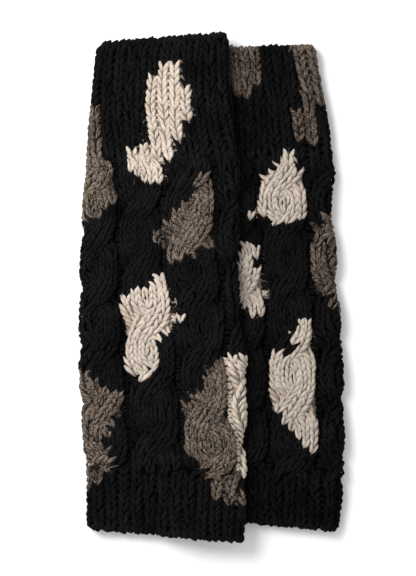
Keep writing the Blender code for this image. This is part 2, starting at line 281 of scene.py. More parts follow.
def around(warmer, arc, y):
    """Point x, z and outward direction on the plain outer face, arc mm round from the left fold."""
    left, right = folds(warmer, y)
    half_fold = math.pi * FOLD_RADIUS
    flat = right - left - 2 * FOLD_RADIUS
    arc = (arc + half_fold / 2) % girth(warmer, y)
    turn_left = arc / FOLD_RADIUS
    over = arc - half_fold
    turn_right = (over - flat) / FOLD_RADIUS
    under = over - flat - half_fold
    where = [arc < half_fold, over < flat, under < 0]
    middle, reach = (left + right) / 2, (right - left) / 2 - FOLD_RADIUS
    top_x = left + FOLD_RADIUS + over
    slot = mix(SLOT, FOLD_SLOT, np.minimum(np.abs(top_x - middle) / reach, 1.0) ** FOLD_SWELL)
    dx = np.select(where, [-np.sin(turn_left), 0 * arc, np.sin(turn_right)], 0 * arc)
    dz = np.select(where, [-np.cos(turn_left), 0 * arc + 1, np.cos(turn_right)], 0 * arc - 1)
    x = np.select(where, [left + FOLD_RADIUS * (1 + dx), top_x, right + FOLD_RADIUS * (dx - 1)],
                  right - FOLD_RADIUS - under)
    z = np.select(where, [FOLD_RADIUS * (1 + dz), 2 * WALL + slot, FOLD_RADIUS * (1 + dz)], 0 * arc)
    return x, z, dx, dz


def place(warmer, y, x, z):
    """A point of the tube in the pair's own frame: ends slant, and the left warmer is lifted."""
    left, right = folds(warmer, y)
    middle = (left + right) / 2
    low = warmer.bottom.y + warmer.bottom.slope * (x - middle)
    high = warmer.top.y + warmer.top.slope * (x - middle)
    f = (y - warmer.bottom.y) / (warmer.top.y - warmer.bottom.y)
    if warmer is LEFT:
        ramp = read(RIGHT.edges, "left", y) - RAMP_BEFORE
        z = z + LIFT * smooth((x - ramp) / RAMP_LENGTH)
    return np.stack([x, mix(low, high, f), z], axis=-1)


# Knitting --------------------------------------------------------------------------------------

def cabled(warmer, y):
    """0 in the ribs, 1 in the cables."""
    return smooth((y - warmer.bottom_seam) / RIB_TO_CABLE) * smooth((warmer.top_seam - y) / RIB_TO_CABLE)


def share(warmer, within, y):
    """How much of a group's width lies before the stitch position within it."""
    worked = cabled(warmer, y)
    total, before = 0.0, 0.0
    for number in range(GROUP):
        rib = RIB_KNIT if number % 2 else RIB_PURL
        cable = 1.0 if 0 < number < GROUP - 1 else CABLE_PURL
        width = mix(rib, cable, worked)
        total = total + width
        before = before + width * np.clip(within - number, 0.0, 1.0)
    return before / total


def arc_of(warmer, stitch, y):
    """How far round from the left fold a stitch lies."""
    first, second, third = (read(warmer.gutters, name, y) for name in ("first", "second", "third"))
    start = 2 * first - second
    behind = (girth(warmer, y) + start - third) / 3
    marks = [start, first, second, third] + [third + behind * i for i in (1, 2, 3)]
    stitch = stitch % STITCHES
    group = (stitch // GROUP).astype(int)
    f = share(warmer, stitch - group * GROUP, y)
    low = np.choose(group, marks[:-1])
    high = np.choose(group, marks[1:])
    return mix(low, high, f)


Ply = namedtuple("Ply", "middle spread height")


def turns(warmer, group, y):
    """Turns of a cable from its named crossing to height y."""
    low = np.minimum(y, LAST_TURN_FROM)
    return (low - np.array(warmer.crossings)[group]) / CABLE_PITCH + (y - low) / warmer.top_pitch


def crossing_at(warmer, group, y):
    """Turns from the nearest crossing, and 1 or -1 for the ply that is on top there."""
    turn = turns(warmer, group, y)
    count = np.round(turn)
    seam_turn = turns(warmer, group, warmer.bottom_seam)
    seam_count = np.round(seam_turn)
    first = -np.sign(seam_turn - seam_count) * (-1.0) ** seam_count
    return turn - count, first * (-1.0) ** count


def swing(turn, span):
    """-1 to 1 from the cable's one side to its other, as a ply crosses."""
    return np.sin(math.pi / 2 * np.clip(turn / span, -1.0, 1.0))


def plies(warmer, group, y):
    """A cable's two plies: the middle of each, how far it spreads, and what is left of its height."""
    turn, way = crossing_at(warmer, group, y)
    near = smooth(1 - np.abs(turn) / OVER_SPAN)
    tight = smooth(1 - np.abs(turn) / UNDER_SPAN)
    over = swing(turn, OVER_SPAN), 1 + OVER_SPREAD * near, 1.0
    under = -swing(turn, UNDER_SPAN), 1 + UNDER_SPREAD * tight, 1 - UNDER_DIP * near
    seam_turn, seam_way = crossing_at(warmer, group, np.full_like(y, warmer.top_seam))
    upper = np.sign(seam_turn) * seam_way
    settled = np.where(y < (warmer.bottom_seam + warmer.top_seam) / 2, -1.0, upper)
    worked = cabled(warmer, y)
    made = []
    for ply in (1, -1):
        side, spread, height = (np.where(way * ply > 0, a, b) for a, b in zip(over, under))
        middle = PLY_OFFSET * mix(settled * ply, side * (1 - CROSSING_DRAW * near), worked)
        made.append(Ply(middle, mix(1.0, spread, worked), mix(1.0, height, worked)))
    return made, near


def dome(offset, half_width):
    return np.sqrt(np.clip(1 - np.abs(offset / half_width) ** PLY_FULLNESS, 0.0, 1.0))


def waist(across, near):
    return CROSSING_WAIST * near * np.clip(1 - (2 * across / GROUP) ** 2, 0.0, 1.0)


def pressed(warmer, x, y):
    """How much of the cables' height is left where the other warmer lies on them."""
    if warmer is LEFT:
        return 1.0
    fold = read(LEFT.edges, "right", y)
    return mix(PRESSED, 1.0, smooth((x - fold + PRESS_START) / PRESS_FADE))


def rib_rise(stitch):
    return RIB_HEIGHT * (1 - np.cos(math.pi * (stitch - 0.5))) / 2


def relief(warmer, stitch, y, x):
    """Height of ribs and cables over the plain face, as a whole."""
    group = ((stitch % STITCHES) // GROUP).astype(int)
    across = stitch % GROUP - GROUP / 2
    pair, near = plies(warmer, group, y)
    rise = [dome(across - ply.middle, PLY_OFFSET * ply.spread) * ply.height for ply in pair]
    cable = PLY_HEIGHT * np.maximum(*rise) - waist(across, near)
    return mix(rib_rise(stitch), cable * pressed(warmer, x, y), cabled(warmer, y))


Wales = namedtuple("Wales", "stitch rise width")


def wales(warmer, column, y, aside):
    """Where each cable stitch column runs at height y, and its rise aside mm from its middle."""
    group = column // GROUP
    number = column % GROUP
    first = number <= GROUP // 2 - 1
    member = number - np.where(first, *PLY_MIDDLES)
    pair, near = plies(warmer, group, y)
    middle, spread, height = (np.where(first, a, b) for a, b in zip(*pair))
    stitch = group * GROUP + GROUP / 2 + middle + member * spread
    stitch = np.where(number == GROUP - 1, column + 0.5, stitch)
    width = (arc_of(warmer, stitch + 0.5, y) - arc_of(warmer, stitch - 0.5, y)) % girth(warmer, y)
    offset = member * spread + aside / width
    rise = PLY_HEIGHT * dome(offset, PLY_OFFSET * spread * DOME_EASE) * height
    rise = rise - waist(middle + offset, near)
    rib = rib_rise(stitch) * RIB_SHARE + RIB_HEIGHT * RIB_LEVEL
    return Wales(stitch, mix(rib, rise, cabled(warmer, y)), width * spread)


def stand_out(warmer, arc, y, height):
    """Points that stand height mm out from the plain outer face."""
    x, z, dx, dz = around(warmer, arc, y)
    return place(warmer, y, x + dx * height, z + dz * height)


def facing_up(warmer, arc, y):
    """1 on the upper face and the folds' sides, falling to 0 on the underside, and x there."""
    x, _, _, dz = around(warmer, arc, y)
    return np.minimum(1 + dz, 1.0), x


def along_cloth(warmer, arc, y):
    """Distance across the pair measured along the cloth, so that it runs on round the folds."""
    left, _ = folds(warmer, y)
    half = girth(warmer, y) / 2
    arc = (arc + half / 2) % (2 * half) - half / 2
    return left + FOLD_RADIUS * (1 - math.pi / 2) + arc


def yarn_at(warmer, across, y):
    """Number of the yarn in YARNS that is knitted at each place."""
    chosen = np.zeros(np.shape(across), int)
    for yarn, spans in reversed(warmer.patches):
        spans = sorted(spans)
        heights = [span.y for span in spans]
        left = np.interp(y, heights, [span.left for span in spans])
        right = np.interp(y, heights, [span.right for span in spans])
        inside = (y > heights[0]) & (y < heights[-1]) & (across > left) & (across < right)
        chosen = np.where(inside, YARNS.index(yarn), chosen)
    return chosen


# Yarn as meshes --------------------------------------------------------------------------------

Yarn = namedtuple("Yarn", "points faces spread shade hollow")
Lengths = namedtuple("Lengths", "path normal wide thick sunk")
FLOOR = 0.03                # what lies on the floor is pressed flat on it


def tubes(path, normal, wide, thick, painted_shading, sides, shade):
    """Closed tubes of yarn along paths (tubes, stations, 3); the first and last stations are tips.

    Each tube has one shade, and its stations take painted shade from 0 to 1; the side of each ring that
    faces down takes more.
    """
    count, stations, _ = path.shape
    tangent = unit(np.gradient(path, axis=1))
    across = unit(np.cross(tangent, normal))
    normal = np.cross(across, tangent)
    angle = 2 * math.pi * np.arange(sides) / sides
    ring = (path[:, 1:-1, None] + (wide[:, 1:-1, None] * np.cos(angle))[..., None] * across[:, 1:-1, None]
            + (thick[:, 1:-1, None] * np.sin(angle))[..., None] * normal[:, 1:-1, None])
    points = np.concatenate([path[:, :1], ring.reshape(count, -1, 3), path[:, -1:]], axis=1)
    steps = np.linalg.norm(np.diff(path, axis=1), axis=-1)
    run = np.concatenate([np.zeros((count, 1)), np.cumsum(steps, axis=1)], axis=1)

    size, last = points.shape[1], stations - 1
    first_points = (np.arange(count) * size)[:, None, None]
    side = np.arange(sides)[:, None]
    row = np.arange(1, last - 1)[:, None, None]
    corners = [     # of the walls and the two tips: places round the yarn, and stations
        (side + np.array([0, 0, 1, 1]), row + np.array([0, 1, 1, 0])),
        (side + np.array([0.5, 0, 1]), np.array([0, 1, 1])),
        (side + np.array([0.5, 1, 0]), last - np.array([0, 1, 1])),
    ]
    faces, spread = [], []
    for pair in corners:
        places, rows = (each.reshape(-1, each.shape[-1]) for each in np.broadcast_arrays(*pair))
        index = np.where(rows == 0, 0, 1 + (rows - 1) * sides + places % sides)
        index = np.where(rows == last, size - 1, index).astype(int)
        faces.append((first_points + index).reshape(-1, index.shape[-1]))
        sheet = np.broadcast_arrays(places / sides, run[:, rows])
        spread.append(np.stack(sheet, axis=-1).reshape(-1, 2))

    # painted shade: the lower side of each ring, which faces the cloth, is drawn darker
    underside_shade = (1 - np.sin(angle)) / 2
    sides_painted_shading = np.maximum(painted_shading[:, 1:-1, None], underside_shade).reshape(count, -1)
    hollow = np.concatenate([painted_shading[:, :1], sides_painted_shading, painted_shading[:, -1:]], axis=1)
    return Yarn(points.reshape(-1, 3), faces, np.concatenate(spread), np.repeat(shade, size),
                hollow.ravel())


def mesh_object(warmer, name, points, faces, materials):
    mesh = bpy.data.meshes.new(name)
    points[:, 2] = np.maximum(points[:, 2], FLOOR)
    mesh.from_pydata((points * MM).tolist(), [], faces)
    mesh.shade_smooth()
    for material in materials:
        mesh.materials.append(material)
    return add_object(name, mesh, collection(warmer.name))


def yarn_object(warmer, name, batches, material):
    """One mesh of many lengths of yarn, with the way round and along each of them kept as its map."""
    offset = 0
    faces, spread = [], []
    for batch in batches:
        for part in batch.faces:
            faces += (part + offset).tolist()
        spread.append(batch.spread)
        offset += len(batch.points)
    piece = mesh_object(warmer, name, np.concatenate([b.points for b in batches]), faces, [material])
    mesh = piece.data
    mesh.uv_layers.new(name="yarn").data.foreach_set("uv", np.concatenate(spread).astype(np.float32).ravel())
    for kept in ("shade", "hollow"):
        values = np.concatenate([getattr(batch, kept) for batch in batches])
        mesh.attributes.new(kept, "FLOAT", "POINT").data.foreach_set("value", values.astype(np.float32))
    return piece


def wind(batches, lengths, sides, shade, yarn_number, picked=True):
    """Add the picked lengths as tubes to the batches of their own yarns."""
    for number, yarn in enumerate(YARNS):
        pick = picked & (yarn_number == number)
        if pick.any():
            batches[yarn].append(tubes(*(each[pick] for each in lengths), sides, shade[pick]))


def add_yarn(warmer, pattern, batches, colours):
    """A piece for each yarn that is used; the pattern is its name, open where the yarn's goes."""
    for yarn in YARNS:
        if batches[yarn]:
            material = wool_material(warmer, yarn, colours, True)
            name = f"{warmer.name}_{pattern.format(yarn)}"
            piece = yarn_object(warmer, name, batches[yarn], material)
            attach(piece, "root")


def collection(name):
    found = bpy.data.collections.get(name)
    if found is None:
        found = bpy.data.collections.new(name)
        bpy.context.scene.collection.children.link(found)
    return found


def add_object(name, data, home):
    made = bpy.data.objects.new(name, data)
    home.objects.link(made)
    return made


# Stitches --------------------------------------------------------------------------------------

# One leg of a knit stitch, from the foot at the stitch's middle to the tip at its side: along in
# rows, aside in stitch widths, width and height in shares of the leg's own half width, and the
# painted shade it takes, darkest at its tips, which lie deep between its neighbours.
Leg = namedtuple("Leg", "along aside width height hollow")
LEG = table(
    Leg,
    (-0.46, 0.02, 0.00, -1.35, 0.90),
    (-0.24, 0.03, 0.38, -0.80, 0.60),
    (0.08, 0.08, 0.76, -0.12, 0.15),
    (0.44, 0.18, 1.02, 0.26, 0.00),
    (0.82, 0.31, 1.06, 0.30, 0.00),
    (1.20, 0.43, 0.80, 0.00, 0.15),
    (1.48, 0.49, 0.42, -0.52, 0.55),
    (1.72, 0.53, 0.00, -1.10, 0.90),
)
LEG_SHARE = 0.250           # half a leg's width, as a share of its stitch
LEG_NARROWEST, LEG_WIDEST = 1.15, 1.66
LEG_THICK, LEG_THICK_UNDER = 0.86, 0.82     # of its width, as stitches lie pressed, most underneath
LEG_HEIGHT_UNDER = 0.3      # of a leg's own heights, on the underside
LEG_LEAN = 1.3              # most that a column slants
CABLE_FOOT, CABLE_REACH = 0.08, 0.76    # where a leg starts and how far it leads aside, in a cable
RIB_FOOT, RIB_REACH = 0.05, 0.80        # the same in a rib, whose columns are wider
RIB_SPREAD = 9.2            # widest that a knit column of the rib opens
TOP_SINK, UNDER_SINK, PRESSED_SINK = 0.85, 1.9, 0.8
# Painted shade in the troughs of cables and ribs: its most, and the power by which it grows with depth
TROUGH_SHADE, TROUGH_EASE = 0.85, 1.2
OVER_PULL, UNDER_PULL = 0.1, 0.42       # how far a crossing slants the stitches of its two plies
PULL_FROM_SEAM, PULL_MIDDLE = 40.0, 0.65
FIRST_ROW, ROWS_SHORT = 2.2, 2.0        # from a free end
END_MARGIN, END_EASE = 1.0, 2.0
BESIDE, AHEAD = 0.6, 0.5    # to points nearby, which show how the surface faces

# How hand-knitted stitches differ, in shares of the unevenness that is set
UNLIKE_LENGTH, UNLIKE_HEIGHT, UNLIKE_REACH, UNLIKE_PLACE, UNLIKE_WIDTH = 0.7, 0.6, 1.2, 0.25, 0.9

# Slow waves along each column, unlike its neighbours': size, phase from column to column, length
Wave = namedtuple("Wave", "size phase length")
SWAY = table(Wave, (0.22, 2.4, 17.0), (0.12, 5.1, -9.0))    # in rows, up and down
WANDER = table(Wave, (0.07, 2.1, 8.0))                      # in stitch widths, aside

# A loop of yarn from end to end: across in loop widths, arch along the columns, width of the yarn
Loop = namedtuple("Loop", "across arch width")
PURL = table(Loop, (-0.62, -0.30, 0.0), (-0.5, -0.12, 0.8), (-0.2, 0.08, 1.0), (0.2, 0.08, 1.0),
             (0.5, -0.12, 0.8), (0.62, -0.30, 0.0))
# PURL_SHADE is the painted shade that every purl bump takes, as it lies deep behind the knit columns
PURL_HALF_WIDTH, PURL_THICK, PURL_SHADE = 1.3, 0.9, 0.55
PURL_HEIGHT, PURL_ASIDE = 0.25, 0.35    # in rows up from its own, and in stitches from the middle
PURL_SINK, PURL_UNDER_SINK = 0.9, 2.0
PURL_DIVE = 1.4                         # by which its ends lie deeper
GUTTER_ROOM, GUTTER_SHIFT = 0.9, 0.5    # gutters have two columns of purl, half a row apart
RIB_PURL_OVER, RIB_PURL_ROOM = 0.62, (2.6, 7.0)

FINE_FROM = 0.35            # how far yarn has to face up, to be worked in full
COVERED_FROM = 4.0          # under the other warmer's fold, where no yarn shows
STRAND_SHADE = 0.5          # how much a stitch's two legs differ in shade
LEG_SIDES, UNDER_SIDES, FIBRE_SIDES = 6, 4, 3


def rows_of(warmer, row_height):
    count = int((warmer.top.y - warmer.bottom.y - ROWS_SHORT) / row_height) - 1
    return warmer.bottom.y + FIRST_ROW + row_height * np.arange(count)


def waves(rows, column, y):
    return sum(row.size * np.sin(row.phase * column + y / row.length) for row in rows)


def column_room(warmer, column, y):
    """Width of the cloth from one column before to one after a place."""
    return (arc_of(warmer, column + 1, y) - arc_of(warmer, column - 1, y)) % girth(warmer, y)


def is_knit(warmer, zone, column, row):
    """Knit or purl, which changes half way from the ribs to the cables."""
    number = column % GROUP
    if zone != "cabled_tube":
        return number % 2 == 1
    in_cable = (number > 0) & (number < GROUP - 1)
    home = np.floor(wales(warmer, column, row, 0.0).stitch)
    ribbed = np.where(in_cable, home % 2 == 1, number == GROUP - 1)
    return np.where(cabled(warmer, row) < 0.5, ribbed, in_cable)


def zone_columns(warmer, zone, sizes):
    """Columns and row heights of the knit stitches of one zone, and those of the purl ones."""
    rows = rows_of(warmer, sizes.row_height / MM)
    if zone == "bottom_rib":
        rows = rows[rows < warmer.bottom_seam]
    elif zone == "top_rib":
        rows = rows[rows >= warmer.top_seam]
    else:
        rows = rows[(rows >= warmer.bottom_seam) & (rows < warmer.top_seam)]
    column, row = (grid.ravel() for grid in np.meshgrid(np.arange(STITCHES), rows))
    knit = is_knit(warmer, zone, column, row)
    return column[knit], row[knit], column[~knit], row[~knit]


def crossing_pull(warmer, column, row):
    """How much more than its column a stitch slants, where a crossing pulls it over."""
    turn, way = crossing_at(warmer, column // GROUP, row)
    first = column % GROUP <= GROUP // 2 - 1
    over = np.where(first, way, -way) > 0
    near = smooth(2 - 2 * np.abs(turn) / UNDER_SPAN) * smooth((warmer.top_seam - row) / PULL_FROM_SEAM)
    near = near * cabled(warmer, row)
    return np.where(over, OVER_PULL, -UNDER_PULL) * near


def kept_inside(warmer, y):
    """Heights y, drawn in softly where a stitch would come out past its warmer's ends."""
    low, high = warmer.bottom.y + END_MARGIN, warmer.top.y - END_MARGIN
    y = np.maximum(y, low + END_EASE * np.exp(np.minimum((y - low) / END_EASE - 1, 0.0)))
    return np.minimum(y, high - END_EASE * np.exp(np.minimum((high - y) / END_EASE - 1, 0.0)))


def leg_paths(warmer, zone, column, row, side, sizes, rng):
    """The legs on one side of knit stitches, how far they face up, and x there."""
    pitch = sizes.row_height / MM
    count = len(column)
    along, aside, width, height, hollow = np.array(LEG).T

    def vary(amount):
        return sizes.unevenness * amount * rng.normal(size=(count, 1))

    sway = waves(SWAY, column, row)[:, None]
    y = row[:, None] + pitch * (along * (1 + vary(UNLIKE_LENGTH)) + vary(UNLIKE_HEIGHT) + sway)
    y = kept_inside(warmer, y)
    column = np.broadcast_to(column[:, None], y.shape)
    if zone == "cabled_tube":
        stitch, _, room = wales(warmer, column, y, 0.0)
        aside = CABLE_FOOT + CABLE_REACH * aside
    else:
        stitch = column + 0.5
        room = np.minimum(column_room(warmer, stitch, y), RIB_SPREAD)
        aside = RIB_FOOT + RIB_REACH * aside
    arc = arc_of(warmer, stitch, y)
    lean = np.clip(np.gradient(arc, axis=1) / np.gradient(y, axis=1), -LEG_LEAN, LEG_LEAN)
    wide = np.clip(LEG_SHARE * room / np.sqrt(1 + lean ** 2), LEG_NARROWEST, LEG_WIDEST)
    wander = waves(WANDER, column, y)
    off = room * (side * aside * (1 + vary(UNLIKE_REACH)) + vary(UNLIKE_PLACE) + wander)
    if zone == "cabled_tube":
        pull = crossing_pull(warmer, column, row[:, None])
        off = off + pull * (y - row[:, None] - PULL_MIDDLE * pitch)

    def rise_at(shift):
        if zone == "cabled_tube":
            return wales(warmer, column, y, off + shift).rise
        return rib_rise(stitch + (off + shift) / room * 2)

    def surface(shift):
        there = arc + off + shift
        up, x = facing_up(warmer, there, y)
        flat = pressed(warmer, x, y)
        rise = rise_at(shift) * (flat if zone == "cabled_tube" else 1.0)
        sink = mix(UNDER_SINK, TOP_SINK + PRESSED_SINK * (1 - flat), up)
        raised = rise * up - sink + height * mix(LEG_HEIGHT_UNDER, 1.0, up) * wide
        return stand_out(warmer, there, y, raised)

    path = surface(0.0)
    # painted shade: darker where a leg lies low in a trough of the relief, as well as at its tips
    full = mix(RIB_HEIGHT, PLY_HEIGHT, cabled(warmer, y))
    trough = np.clip(1 - rise_at(0.0) / full, 0.0, 1.0) ** TROUGH_EASE
    painted_shading = np.maximum(hollow, TROUGH_SHADE * trough)
    normal = unit(np.cross(unit(surface(BESIDE) - surface(-BESIDE)), unit(np.gradient(path, axis=1))))
    up, x = facing_up(warmer, arc + off, y)
    wide = wide * width * (1 + vary(UNLIKE_WIDTH))
    thick = wide * LEG_THICK * mix(LEG_THICK_UNDER, 1.0, up)
    return Lengths(path, normal, wide, thick, painted_shading), up, x


def purl_paths(warmer, zone, column, row, sizes, rng):
    """Purl bumps, how far they face up, and x there: short arches behind the knit columns."""
    across, arch, width = np.array(PURL).T
    edge = (column % GROUP == 0)[:, None]
    gutter = zone == "cabled_tube"
    drop = np.where(edge, GUTTER_SHIFT, 0.0) if gutter else 0.0
    arch = np.where(edge, -arch, arch) if gutter else arch
    uneven = sizes.unevenness * rng.normal(size=(len(column), 1))
    y = row[:, None] + sizes.row_height / MM * (PURL_HEIGHT + drop + arch + uneven)
    column = np.broadcast_to(column[:, None], y.shape) + 0.5
    if gutter:
        column = column + np.where(edge, -PURL_ASIDE, PURL_ASIDE)
    room = column_room(warmer, column, y)
    room = room * GUTTER_ROOM if gutter else np.clip(room - RIB_SPREAD * RIB_PURL_OVER, *RIB_PURL_ROOM)
    arc = arc_of(warmer, column, y) + across * room
    up, x = facing_up(warmer, arc, y)
    sink = mix(PURL_UNDER_SINK, PURL_SINK, up) + PURL_DIVE * np.abs(across) ** 2
    path = stand_out(warmer, arc, y, -sink)
    ahead = stand_out(warmer, arc, y + AHEAD, -sink)
    normal = unit(np.cross(unit(np.gradient(path, axis=1)), unit(ahead - path)))
    wide = np.broadcast_to(PURL_HALF_WIDTH * width, y.shape)
    return Lengths(path, normal, wide, wide * PURL_THICK, np.full(y.shape, PURL_SHADE)), up, x


def yarn_where(warmer, stitch, y):
    arc = arc_of(warmer, stitch, y)
    return yarn_at(warmer, along_cloth(warmer, arc, y), stand_out(warmer, arc, y, 0.0)[..., 1])


def knit_yarn_of(warmer, column, row, zone, sizes):
    """Yarn of each knit stitch, from where its middle shows."""
    y = row + 0.5 * sizes.row_height / MM
    stitch = wales(warmer, column, y, 0.0).stitch if zone == "cabled_tube" else column + 0.5
    return yarn_where(warmer, stitch, y)


def purl_yarn_of(warmer, column, row, zone, sizes):
    """Yarn of each purl stitch: that of the column after it, if patches lie on both its sides."""
    y = row + 0.5 * sizes.row_height / MM
    beside = (zone == "cabled_tube") * 1.0
    before = column - 0.5 - beside * (column % GROUP == 0)
    after = column + 1.5 + beside * (column % GROUP == GROUP - 1)
    return np.where(yarn_where(warmer, before, y) > 0, yarn_where(warmer, after, y), 0)


def zone_stitches(warmer, zone, sizes, rng):
    """Batches of yarn of one zone, in a list for each yarn."""
    batches = {yarn: [] for yarn in YARNS}
    knit_column, knit_row, purl_column, purl_row = zone_columns(warmer, zone, sizes)
    knit_yarn = knit_yarn_of(warmer, knit_column, knit_row, zone, sizes)
    purl_yarn = purl_yarn_of(warmer, purl_column, purl_row, zone, sizes)
    tone = rng.normal(size=len(knit_column))
    works = [
        (knit_yarn, tone, leg_paths(warmer, zone, knit_column, knit_row, -1, sizes, rng)),
        (knit_yarn, tone, leg_paths(warmer, zone, knit_column, knit_row, 1, sizes, rng)),
        (purl_yarn, rng.normal(size=len(purl_column)),
         purl_paths(warmer, zone, purl_column, purl_row, sizes, rng)),
    ]
    for yarn_number, shade, (lengths, up, x) in works:
        shade = shade + rng.normal(size=len(shade)) * STRAND_SHADE
        middle = up.shape[1] // 2
        fine = up[:, middle] > FINE_FROM
        if warmer is RIGHT:
            fold = read(LEFT.edges, "right", lengths.path[:, middle, 1])
            fine &= x[:, middle] >= fold - COVERED_FROM
        wind(batches, lengths, LEG_SIDES, shade, yarn_number, fine)
        wind(batches, lengths, UNDER_SIDES, shade, yarn_number, ~fine)
    return batches


# Edges -----------------------------------------------------------------------------------------

CHAIN_WIDTH = {"bind_off": 4.9, "cast_on": 5.9}
CHAIN = table(Loop, (-0.05, -3.4, 0.0), (0.08, -2.1, 0.7), (0.28, -0.2, 1.0), (0.50, 0.6, 1.15),
              (0.72, -0.2, 1.0), (0.92, -2.1, 0.7), (1.05, -3.4, 0.0))
CHAIN_HALF_WIDTH, CHAIN_THICK = 1.7, 0.95
CHAIN_INSET = 2.2           # from the free end to the loops' own line
CHAIN_TO_STITCH = 3.0       # from a loop to the stitch that it ends, whose yarn it has
UNLIKE_LOOP, UNLIKE_ARCH, WIDTH_BY_ARCH = 1.2, 3.0, 0.1


def rim_paths(warmer, edge, depth, sizes, rng):
    """The chain that lies along a free edge, one length of yarn to a loop, and each loop's yarn."""
    across, arch, width = np.array(CHAIN).T
    end, way = (warmer.top, 1) if edge == "bind_off" else (warmer.bottom, -1)
    total = float(girth(warmer, np.full(1, end.y)))
    count = round(total / CHAIN_WIDTH[edge])
    loop = np.arange(count)[:, None] + sizes.unevenness * rng.normal(size=(count, 1)) * UNLIKE_LOOP
    wobble = sizes.unevenness * rng.normal(size=(count, 1)) * UNLIKE_ARCH
    arc = total * (loop + across) / count
    y = end.y + way * (arch + wobble - CHAIN_INSET) + 0 * arc
    path = stand_out(warmer, arc, y, -depth + 0 * arc)
    inner = stand_out(warmer, arc, y, -depth - BESIDE + 0 * arc)
    wide = CHAIN_HALF_WIDTH * width * (1 + WIDTH_BY_ARCH * wobble)
    lengths = Lengths(path, unit(path - inner), wide, wide * CHAIN_THICK, np.zeros(wide.shape))
    middle = len(CHAIN) // 2
    yarn_number = yarn_at(warmer, along_cloth(warmer, arc, y), path[..., 1] - way * CHAIN_TO_STITCH)
    return lengths, yarn_number[:, middle]


# Loose fibres ----------------------------------------------------------------------------------

Hair = namedtuple("Hair", "share shortest longest rise stations")
HAIRS = (
    Hair(0.06, 5.0, 14.0, 1.4, 5),      # long ones, which lie over the stitches
    Hair(0.94, 1.6, 3.6, 0.9, 3),       # the nap
)
FIBRE_BEND = 0.9            # radians that most of them turn in, along their length
FIBRE_LIFTS = 0.3, 1.3      # least and most that one rises, of its kind's rise
FIBRE_ROOT = 0.4            # over the cloth's relief
FIBRE_ARCH = 0.08, 0.75     # where its arch starts, and how much it takes in, of half a wave
FIBRE_FACING = 0.31, 0.2, 0.93          # not along any fibre
FIBRE_FROM_END, FIBRE_PAST_END, INSIDE_END = 1.0, 0.5, 0.1
HIDDEN_UNDER = 1.0          # past the other warmer's fold
UNDERSIDE, UNDERSIDE_HEIGHT = 0.3, 0.4  # what faces up less lies low
BARELY_UP, SIDE_UP = 0.02, 0.6


def fibre_paths(warmer, hair, count, sizes, rng):
    """Fibres that come out of the stitches, bend over and lie or stand off the cloth; their yarns."""
    y = rng.uniform(warmer.bottom.y + FIBRE_FROM_END, warmer.top.y - FIBRE_FROM_END, count)
    stitch = rng.uniform(0.0, STITCHES, count)
    heading = rng.uniform(0.0, 2 * math.pi, count)
    length = rng.uniform(hair.shortest, hair.longest, count)
    bend = rng.normal(size=count) * FIBRE_BEND
    lift = hair.rise * rng.uniform(*FIBRE_LIFTS, count)
    along = np.linspace(0.0, 1.0, hair.stations)
    turned = heading[:, None] + bend[:, None] * along
    step = length[:, None] / (hair.stations - 1)
    run_x = np.cumsum(np.cos(turned) * step, axis=1)
    run_y = np.cumsum(np.sin(turned) * step, axis=1)
    y_at = np.clip(y[:, None] + run_y, warmer.bottom.y - FIBRE_PAST_END, warmer.top.y + FIBRE_PAST_END)
    start = arc_of(warmer, stitch, y)
    arc = start[:, None] + run_x
    inside = np.clip(y_at, warmer.bottom.y + INSIDE_END, warmer.top.y - INSIDE_END)
    up, x = facing_up(warmer, arc, inside)
    near = np.stack([relief(warmer, place_at, level, spot) for place_at, level, spot in
                     zip(np.broadcast_to(stitch[:, None], arc.shape).T, inside.T, x.T)], axis=1)
    arch_start, arch_run = FIBRE_ARCH
    height = (near + FIBRE_ROOT) * up
    height = height + lift[:, None] * np.sin(math.pi * (arch_start + arch_run * along))
    height = np.where(up < UNDERSIDE, np.minimum(height, UNDERSIDE_HEIGHT), height)
    path = stand_out(warmer, arc, inside, height)
    path[..., 1] += y_at - inside
    normal = np.broadcast_to(np.array(FIBRE_FACING), path.shape)
    wide = np.full(arc.shape, sizes.fibre_width / MM)
    yarn_number = yarn_at(warmer, along_cloth(warmer, start, y), path[:, 0, 1])
    shown = up[:, 0] > BARELY_UP
    if warmer is RIGHT:
        fold = read(LEFT.edges, "right", y)
        shown &= (x.max(axis=1) > fold - HIDDEN_UNDER) | (up[:, 0] < SIDE_UP)
    lengths = Lengths(path, normal, wide, wide, np.zeros(wide.shape))
    return Lengths(*(each[shown] for each in lengths)), yarn_number[shown]


# Materials -------------------------------------------------------------------------------------

PLIES = 3                   # strands that twist round each other in the yarn
PLY_TWIST = -0.14           # plies passed for each millimetre along it
DRIFT_SCALE, FLECK_SCALE = 45.0, 900.0
FIBRES_ACROSS, FIBRES_ALONG, FIBRES_UNLIKE = 2.4, 0.28, 60.0
# Random tone of each stitch, and the painted shade in the grooves between its plies
SHADE_TONE, GROOVE_SHADE = 0.06, 0.20
GROOVE_HEIGHT, FIBRE_HEIGHT = 0.8, 1.1
PAINTED_SHADE_POWER = 1.5
CLOTH_SHADE = 0.5             # how much darker the painted shade makes the cloth behind the stitches


def node(tree, kind, **values):
    made = tree.nodes.new(kind)
    for name, value in values.items():
        setattr(made, name, value)
    return made


def link(tree, source, target):
    tree.links.new(source, target)


def fill(made, **values):
    """Values on a node's own sockets, whose names have spaces for the underscores."""
    for name, value in values.items():
        made.inputs[name.replace("_", " ")].default_value = value


def new_material(name):
    material = bpy.data.materials.new(name)
    material.use_nodes = True
    return material, material.node_tree.nodes["Principled BSDF"]


def maths(tree, operation, a, b=None):
    made = node(tree, "ShaderNodeMath", operation=operation)
    for socket, value in zip(made.inputs, (a, b)):
        if isinstance(value, (int, float)):
            socket.default_value = value
        elif value is not None:
            link(tree, value, socket)
    return made.outputs[0]


def times(tree, a, b):
    return maths(tree, "MULTIPLY", a, b)


